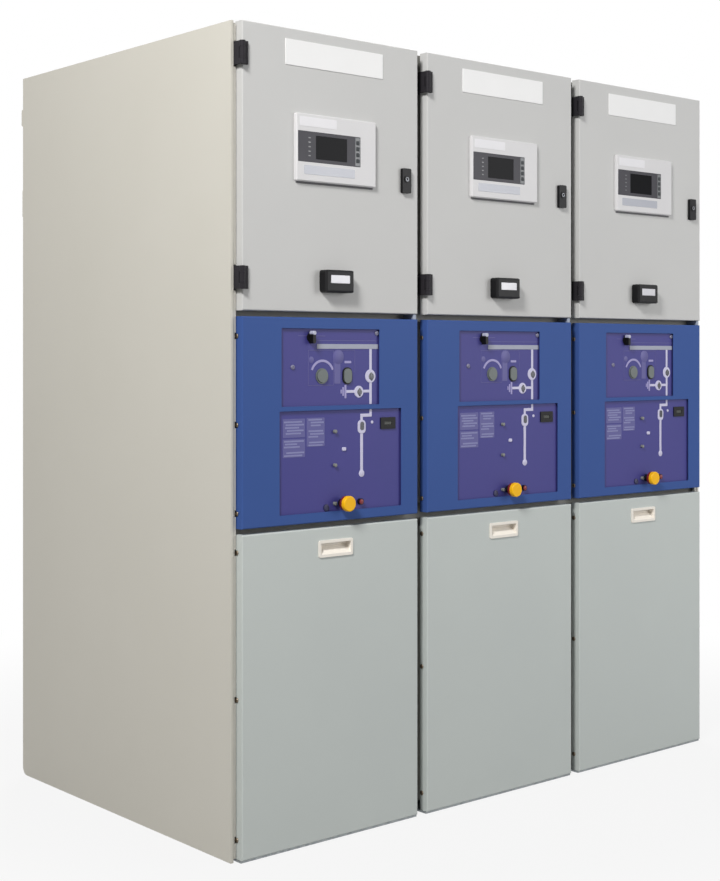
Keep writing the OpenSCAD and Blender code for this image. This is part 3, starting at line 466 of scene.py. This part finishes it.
def arc_strip(radius, width, height, start, end, steps=20):
    """A flat strip bent round the origin: its section, width by height, is carried along a circle
    from the start angle to the end angle, counter-clockwise from the right."""
    angle = np.radians(np.linspace(end, start, steps))[:, None]
    across = radius + width / 2 * np.array([1, 1, -1, -1])
    proud = height * np.array([0, 1, 1, 0])
    points = np.stack([across * np.cos(angle), 0 * angle - proud, across * np.sin(angle)], axis=-1)
    return points.reshape(-1, 3), loft_faces(steps, 4)


def bar(left, right, low, high, layer=0):
    """A straight printed strip between two sides and two heights, in millimetres. A strip that
    crosses another is printed a layer higher."""
    w, h = (right - left) * mm, (high - low) * mm
    strip = thin_plate(w, h, min(w, h, 6 * mm) * 0.3, print_t + layer * layer_t)
    return strip, (left + right) / 2, (low + high) / 2


def disc(radius, u, z, height):
    """A low round disc with an eased rim."""
    rim = 0.6 * mm
    return turned([(radius, 0), (radius, height * 0.6), (radius - rim, height)], sides=32), u, z


# Indigo screen print: an even, dull violet blue with the faint tooth of dried ink, about 0.3 mm
# wide and drawn at 1.5 mm so that it shows.
indigo = finish("indigo_screen_print", "#423e85", "#3d3d80", 160 * mm, (1.5 * mm, 0.03 * mm),
                Roughness=0.5, Specular_IOR_Level=0.3)
dress(indigo, *each_panel("operating_plates"))
plate_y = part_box("operating_plates_1")[0].y
print_t, layer_t, disc_t, field_t = 0.6 * mm, 0.15 * mm, 1.4 * mm, 0.4 * mm
bus_z, bus_left, bus_right, bus_w = 1227, 249, 450, 12
feeder_u, feeder_top, feeder_low, feeder_w = 424.5, 1222, 1081, 8
branch_z, branch_left = 1114, 340
breaker_u, breaker_z = 394.5, 1024
round_u, round_z = 264.5, 1153.5

# Screen prints of the mimic: matt inks, which stay pale and even from all sides. The busbar is
# grey, the lines after it are white, and the lesser marks lilac.
mimic_grey = finish("grey_screen_print", "#a2a5b5", "#979bac", 40 * mm, Roughness=0.5)
mimic_white = finish("white_screen_print", "#cfcce4", "#c4c1dc", 40 * mm, Roughness=0.5)
mimic_lilac = finish("lilac_screen_print", "#a19bca", "#958fbf", 30 * mm, Roughness=0.5)
piece("mimic_busbars", on_plates(
    bar(bus_left, bus_right, bus_z - bus_w / 2, bus_z + bus_w / 2, 3),
), mimic_grey, "cubicle")
piece("mimic_lines", on_plates(
    bar(feeder_u - feeder_w / 2, feeder_u + feeder_w / 2, feeder_low, feeder_top),
    bar(branch_left, feeder_u, branch_z - 3.5, branch_z + 3.5, 1),
    bar(feeder_u - 4, feeder_u + 4, 1053, 1068),
    bar(breaker_u - 4, feeder_u + 4, 1049, 1057, 1),
    bar(breaker_u - 4, breaker_u + 4, 1036, 1055),
    bar(breaker_u - 4.5, breaker_u + 4.5, 908, 1012),
    disc(9 * mm, breaker_u, 906, print_t + layer_t),
), mimic_white, "cubicle")
piece("mimic_marks", on_plates(
    bar(338, 344, branch_z - 17, branch_z + 17, 2),
    bar(331, 336, branch_z - 11, branch_z + 11, 2),
    bar(325, 329, branch_z - 5, branch_z + 5, 2),
    bar(338, 360, 1185, 1191),
    (arc_strip(36 * mm, 6 * mm, print_t, 22, 158), round_u + 2, round_z + 2),
), mimic_lilac, "cubicle")
piece("position_rings", on_plates(
    disc(17 * mm, feeder_u - 1, 1152, disc_t),
    disc(15 * mm, 385, 1113, disc_t),
    (thin_plate(26 * mm, 34 * mm, 10 * mm, disc_t), breaker_u, breaker_z),
    disc(4 * mm, 429.5, 1035, disc_t),
    (thin_plate(13 * mm, 9 * mm, 3 * mm, 2.5 * mm), 336, 970),
), mimic_white, "cubicle")

# Smoked acrylic of the position windows and pointers: dark grey, smooth, with a small highlight.
window_grey = finish("smoked_acrylic", "#4b4c55", "#3f4047", 12 * mm, Roughness=0.25)
pointer = moulding(6 * mm, 21 * mm, 2 * mm,
                   [(0, 0), (0, disc_t + 0.6 * mm), (1 * mm, disc_t + 0.9 * mm)])
piece("position_pointers", on_plates(
    disc(9.5 * mm, feeder_u + 2, 1151, disc_t + 0.3 * mm),
    (pointer, feeder_u + 2, 1151),
    disc(8.5 * mm, 387, 1112, disc_t + 0.3 * mm),
    (pointer, 387, 1112),
    (thin_plate(14 * mm, 22 * mm, 6 * mm, disc_t + 0.4 * mm), breaker_u + 1, breaker_z + 2),
), window_grey, "cubicle")

# Lilac screen prints: thin tints of ink, barely paler than the plate, with paler rules on them.
faint_lilac = finish("faint_lilac_screen_print", "#56548f", "#514f8a", 50 * mm, Roughness=0.5)
pale_lilac = finish("pale_lilac_screen_print", "#7f80ae", "#7576a6", 30 * mm, Roughness=0.5)
deep_lilac = finish("deep_lilac_screen_print", "#56528f", "#504d89", 40 * mm, Roughness=0.5)
piece("label_fields", on_plates(
    (thin_plate(69 * mm, 46 * mm, 2 * mm, field_t), 177, 1027),
    (thin_plate(69 * mm, 45 * mm, 2 * mm, field_t), 177, 978),
    (thin_plate(57 * mm, 71 * mm, 2 * mm, field_t), 245, 1015.5),
), faint_lilac, "cubicle")
rule_h = 4.2
rules = [(146, 202, 1040), (151, 208, 1033), (149, 193, 1026), (155, 207, 1019), (151, 199, 1012),
         (146, 208, 993), (149, 187, 986), (146, 195, 979), (153, 209, 965), (146, 203, 958),
         (222, 265, 1044), (229, 271, 1037), (229, 261, 1030), (222, 269, 1016), (227, 271, 1009),
         (222, 253, 1002), (224, 271, 988), (222, 267, 981)]
piece("label_rules", on_plates(*[bar(left, right, z, z + rule_h) for left, right, z in rules]),
      pale_lilac, "cubicle")
piece("socket_prints", on_plates(
    bar(221, 302.5, 1216.8, 1218.2, 1),
    bar(221, 302.5, 1129.8, 1131.2, 1),
    bar(221, 222.4, 1130, 1218),
    bar(301.1, 302.5, 1130, 1218),
    bar(304.5, 324.5, 1134, 1194),
    disc(18 * mm, 317.5, 1201, print_t + layer_t),
    disc(8 * mm, 231, 1194, print_t),
    bar(371, 372.4, 1162, 1216),
    bar(304.5, 372, 1216.8, 1218.2, 2),
    bar(249, 447, 1241, 1242.6),
    bar(190, 218, 1252, 1253.6),
    bar(240, 276, 1252, 1253.6),
), deep_lilac, "cubicle")

# Sealed grey zinc of the screws: dull, with the plate's violet painted into the grey as a
# painted reflection.
grey_screw = finish("grey_zinc_painted_violet_reflection", "#77768f", "#6c6b84", 4 * mm, Roughness=0.4)
piece("plate_screws", on_plates((pan_head, 444.5, 1261), (pan_head, 172.5, 1176)), grey_screw,
      "cubicle")


# Operating controls: black mouldings for the selector, the oblong rim, the counter and the studs,
# a grey-green cap over each lever socket, the round one with its rim, and a yellow mushroom head
# on a red ring for the trip. All are clipped or screwed into the plates.
dress(moulded_black, "operating_knobs")
# Grey-green moulded polyamide: a dull, greenish mid grey with a fine grain.
lever_green = finish("grey_green_moulded_polyamide", "#666d6c", "#5d6463", 20 * mm,
                     (mould_grain, 0.05 * mm), Roughness=0.5)
dress(lever_green, "lever_covers")
# Yellow moulded ABS of the trip: a full, warm yellow with one soft highlight.
trip_yellow = finish("yellow_moulded_ABS", "#fdc010", "#f7b90c", 20 * mm, Roughness=0.35,
                     Specular_IOR_Level=0.25)
dress(trip_yellow, "trip_buttons")
trip_lo, trip_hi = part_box("trip_buttons")
trip_u = ((trip_lo.x + trip_hi.x) / 2 - panel_left[1]) / mm
trip_z = (trip_lo.z + trip_hi.z) / 2 / mm
trip_r = (trip_hi.z - trip_lo.z) / 2
head_back = plate_y - trip_lo.y - 11 * mm
# Red moulded ABS: a dark red, seen as a thin rim behind the yellow and on the push-button.
ring_red = finish("red_moulded_ABS", "#7c1a20", "#6e161c", 8 * mm, Roughness=0.4)
ring_r = trip_r - 0.6 * mm
trip_ring = turned([(trip_r - 4 * mm, head_back - 9 * mm), (ring_r, head_back - 8 * mm),
                    (ring_r, head_back)], sides=48)
push_u = 387
push_cap = turned([(6.5 * mm, 7 * mm), (6.5 * mm, 9.4 * mm), (5 * mm, 10.4 * mm),
                   (2 * mm, 10.8 * mm)])
piece("trip_rings", on_plates((trip_ring, trip_u, trip_z), (push_cap, push_u, trip_z)), ring_red,
      "cubicle")
sleeve_r = 10.6 * mm
sleeve = turned([(sleeve_r, 0), (sleeve_r, head_back - 8.5 * mm)])
piece("trip_sleeves", on_plates((sleeve, trip_u, trip_z)), moulded_black, "cubicle")
# Grey moulded polyamide of the stud caps: plain mid grey, satin. Their pale grey is partly a
# painted highlight for the glints on the studs.
cap_grey = finish("grey_moulded_polyamide", "#7f817e", "#70726f", 6 * mm, Roughness=0.5)
stud_u, stud_rows = 305, (1015, 931, trip_z)
stud_cap = turned([(4.7 * mm, 0), (4.7 * mm, 6.6 * mm), (3.6 * mm, 7.4 * mm), (1 * mm, 7.8 * mm)])
piece("stud_caps", on_plates(*[(stud_cap, stud_u, z) for z in stud_rows]), cap_grey, "cubicle")
# Dark blue moulded polyethylene of the blanking plugs: satin, and nearly lost on the indigo.
plug_blue = finish("dark_blue_moulded_polyethylene", "#23244a", "#1c1d40", 8 * mm, Roughness=0.5)
blanking_plug = turned([(8.2 * mm, 0), (8.2 * mm, 2.4 * mm), (7 * mm, 3 * mm)])
piece("blanking_plugs", on_plates((blanking_plug, 278, 827)), plug_blue, "cubicle")
# Pale grey moulded ABS on the selector's grip: smooth, a light spot on the black that is a
# painted highlight on top of the knob.
pale_highlight_cap = finish("pale_grey_ABS_painted_highlight", "#b9bbce", "#adafc3", 8 * mm, Roughness=0.45)
selector_cap = moulding(11.4 * mm, 10 * mm, 4.6 * mm,
                        [(0, 4 * mm), (0, 17 * mm), (1.2 * mm, 18 * mm)])
piece("selector_highlights_painted", on_plates((selector_cap, 228.5, 1260)), pale_highlight_cap, "cubicle")
# Dark tinted acrylic of the counter's window: smooth, with a small sharp gloss.
counter_glass = finish("dark_tinted_acrylic", "#3c3f3a", "#30332e", 10 * mm, Roughness=0.15)
piece("counter_windows", on_plates((thin_plate(24 * mm, 9 * mm, 1 * mm, 2 * mm), 482.5, 1031)),
      counter_glass, "cubicle")


# Cable covers: lift-off folded steel trays in light grey powder coat, with a moulded cup to lift
# them by and the same pan-head screws in their sides.

# Cool grey powder coat: satin, a shade greener and cooler than the doors.
cover_paint = powder_coat("cool_grey_powder_coat", "#c9cfcc", "#c4cac8")
dress(cover_paint, *each_panel("cable_cover"))
# Off-white moulded ABS of the cups: a warm white with a fine grain, shaded deep in the pocket.
cup_white = finish("off_white_moulded_ABS", "#f6f0e7", "#f0eae0", 30 * mm, (mould_grain, 0.04 * mm),
                   Roughness=0.45)
dress(cup_white, "cover_handles")
cable_lo, cable_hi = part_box("cable_cover_1")
cable_rows = cable_hi.z - np.array([43, 393, 726]) * mm
side_screws("cable_cover_screws", cable_rows)


# End seals: strips of pale grey foam rubber, glued upright behind the front hem of each end
# cover. They are notched round the screw heads and, on the left, leave the hinges free.

# Pale grey foam rubber: matt and porous, so the seam is a soft grey line and not a black one.
pale_foam = finish("pale_grey_foam_rubber", "#d3d0c8", "#c9c6be", 12 * mm, foam_pores,
                   Roughness=0.85, Specular_IOR_Level=0.2)
left_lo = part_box("end_cover_left")[0]
left_x, right_x = left_lo.x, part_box("end_cover_right")[1].x
leaf_lo, leaf_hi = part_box("hinge_leaves_1")
end_sheet, end_hem_t, hinge_h = 2 * mm, 2 * mm, 55 * mm
end_seal_w, notched_w, end_seal_d, end_seal_edge = 15 * mm, 11.5 * mm, 9 * mm, 1 * mm
screw_free, hinge_free, foot_free, top_free = 7.5 * mm, 2.5 * mm, 2 * mm, 7.5 * mm
end_seal_ends = [cable_lo.z + foot_free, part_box("lv_door_1")[1].z - top_free]
screw_gaps = np.concatenate([screw_rows, cable_rows])[:, None] + screw_free * np.array([-1, 1])
hinge_feet = np.array([leaf_lo.z, leaf_hi.z - hinge_h])
hinge_gaps = hinge_feet[:, None] + np.array([-hinge_free, hinge_h + hinge_free])


def end_seal(edge_x, inward, width, spans):
    """Foam strips of one width beside an end sheet, one above the other, each between the low and
    the high end of its span, with their front edges rounded."""
    profile = [(0, 0), (0, end_seal_d - end_seal_edge), (end_seal_edge, end_seal_d)]
    x, y = edge_x + inward * (end_sheet + width / 2), left_lo.y + end_hem_t + end_seal_d
    return [copies(moulding(width, high - low, end_seal_edge, profile), (x, y, (low + high) / 2))
            for low, high in spans]


def between(*gaps):
    """The spans that a full-height strip has left between the gaps."""
    return np.sort(np.concatenate([end_seal_ends, *map(np.ravel, gaps)])).reshape(-1, 2)


end_seals = [*end_seal(left_x, 1, end_seal_w, between(screw_gaps, hinge_gaps)),
             *end_seal(left_x, 1, notched_w, screw_gaps),
             *end_seal(right_x, -1, end_seal_w, between(screw_gaps)),
             *end_seal(right_x, -1, notched_w, screw_gaps)]
piece("end_seals", end_seals, pale_foam, "cubicle")


# Stage: a pale studio floor, painted board, under a white surround. The floor takes the row's
# shadow, and both show white to the camera and in reflections.
def seen_directly(tree):
    """Light Path's share of rays that show the backdrop itself: 1 from the camera, a gloss or a
    pane, and 0 for the light that the backdrop throws on the object."""
    rays = add_node(tree, "ShaderNodeLightPath")
    seen = add_node(tree, "ShaderNodeMath", operation="MAXIMUM",
                    links={0: (rays, "Is Camera Ray"), 1: (rays, "Is Glossy Ray")})
    return add_node(tree, "ShaderNodeMath", operation="MAXIMUM",
                    links={0: (seen, "Value"), 1: (rays, "Is Transmission Ray")})


floor_size, floor_drop = 40.0, 1 * mm
floor_mesh = bpy.data.meshes.new("studio_floor")
floor_xs, floor_ys = np.meshgrid([-floor_size, floor_size], [-floor_size, floor_size])
floor_points = np.stack([floor_xs.ravel(), floor_ys.ravel(), np.full(4, -floor_drop)], axis=1)
floor_mesh.from_pydata(floor_points.tolist(), [], [(0, 1, 3, 2)])
floor = bpy.data.objects.new("studio_floor", floor_mesh)
bpy.context.scene.collection.objects.link(floor)
# White studio floor: matt, with a soft shadow that fades into white away from the row.
floor_paint, tree, shader = new_finish("white_studio_floor", Base_Color=linear("#9a9a9a"),
                                       Roughness=0.9)
lit = add_node(tree, "ShaderNodeEmission", {"Color": linear("#ffffff"), "Strength": 1.0})
place = add_node(tree, "ShaderNodeTexCoord")
reach = add_node(tree, "ShaderNodeVectorMath", links={0: (place, "Object")}, operation="LENGTH")
fade = add_node(tree, "ShaderNodeMapRange",
                {"From Min": 0.9, "From Max": 2.6, "To Min": 0.88, "To Max": 1.0},
                {"Value": (reach, "Value")}, interpolation_type="SMOOTHSTEP")
share = add_node(tree, "ShaderNodeMath", operation="MULTIPLY",
                 links={0: (seen_directly(tree), "Value"), 1: (fade, "Result")})
blend = add_node(tree, "ShaderNodeMixShader",
                 links={"Fac": (share, "Value"), 1: (shader, "BSDF"), 2: (lit, "Emission")})
add_node(tree, "ShaderNodeOutputMaterial", links={"Surface": (blend, "Shader")},
         is_active_output=True)
floor_mesh.materials.append(floor_paint)

world = bpy.data.worlds.new("studio_surround")
world.use_nodes = True
bpy.context.scene.world = world
tree = world.node_tree
tree.nodes.clear()
ambient = add_node(tree, "ShaderNodeBackground", {"Color": linear("#ffffff"), "Strength": 0.15})
white = add_node(tree, "ShaderNodeBackground", {"Color": linear("#ffffff"), "Strength": 1.0})
blend = add_node(tree, "ShaderNodeMixShader", links={
    "Fac": (seen_directly(tree), "Value"), 1: (ambient, "Background"), 2: (white, "Background")})
add_node(tree, "ShaderNodeOutputWorld", links={"Surface": (blend, "Shader")})


# Lamps and camera: a key lamp from the upper left, a soft fill from the right front and a broad
# lamp behind for the other sides. The camera stands level at the left front, at 1.2 m, with its
# lens shifted down to take in the floor line.
def soft_lamp(name, place, target, size, watts, colour):
    """A square area lamp at a place, turned towards a target."""
    lamp = bpy.data.lights.new(name, "AREA")
    lamp.size = size
    lamp.energy = watts
    lamp.color = linear(colour)[:3]
    obj = bpy.data.objects.new(name, lamp)
    obj.location = place
    aim = np.array(target) - np.array(place)
    tilt = math.acos(-aim[2] / np.linalg.norm(aim))
    obj.rotation_euler = (tilt, 0, math.atan2(aim[0], -aim[1]) + math.pi)
    bpy.context.scene.collection.objects.link(obj)


soft_lamp("key_lamp", (-4.0, -2.5, 4.3), (-0.7, -0.4, 1.4), 1.0, 252, "#fffefc")
soft_lamp("fill_lamp", (2.1, -3.5, 2.0), (0.6, -0.5, 1.4), 2.0, 58, "#ffffff")
soft_lamp("rear_lamp", (3.4, 4.4, 3.6), (0.4, 0.3, 1.1), 3.0, 260, "#ffffff")

photo_h, focal_px, horizon_px = 881, 1520.3, 354.2
camera_place, camera_yaw = (-3.0143, -3.4251, 1.2077), math.radians(-40.61)
camera_lens = bpy.data.cameras.new("camera")
camera_lens.sensor_width = 36
camera_lens.lens = focal_px / photo_h * camera_lens.sensor_width
camera_lens.shift_y = (horizon_px - photo_h / 2) / photo_h
camera = bpy.data.objects.new("camera", camera_lens)
camera.location = camera_place
camera.rotation_euler = (math.radians(90), 0, camera_yaw)
bpy.context.scene.collection.objects.link(camera)
bpy.context.scene.camera = camera
bpy.context.scene.view_settings.view_transform = "Standard"
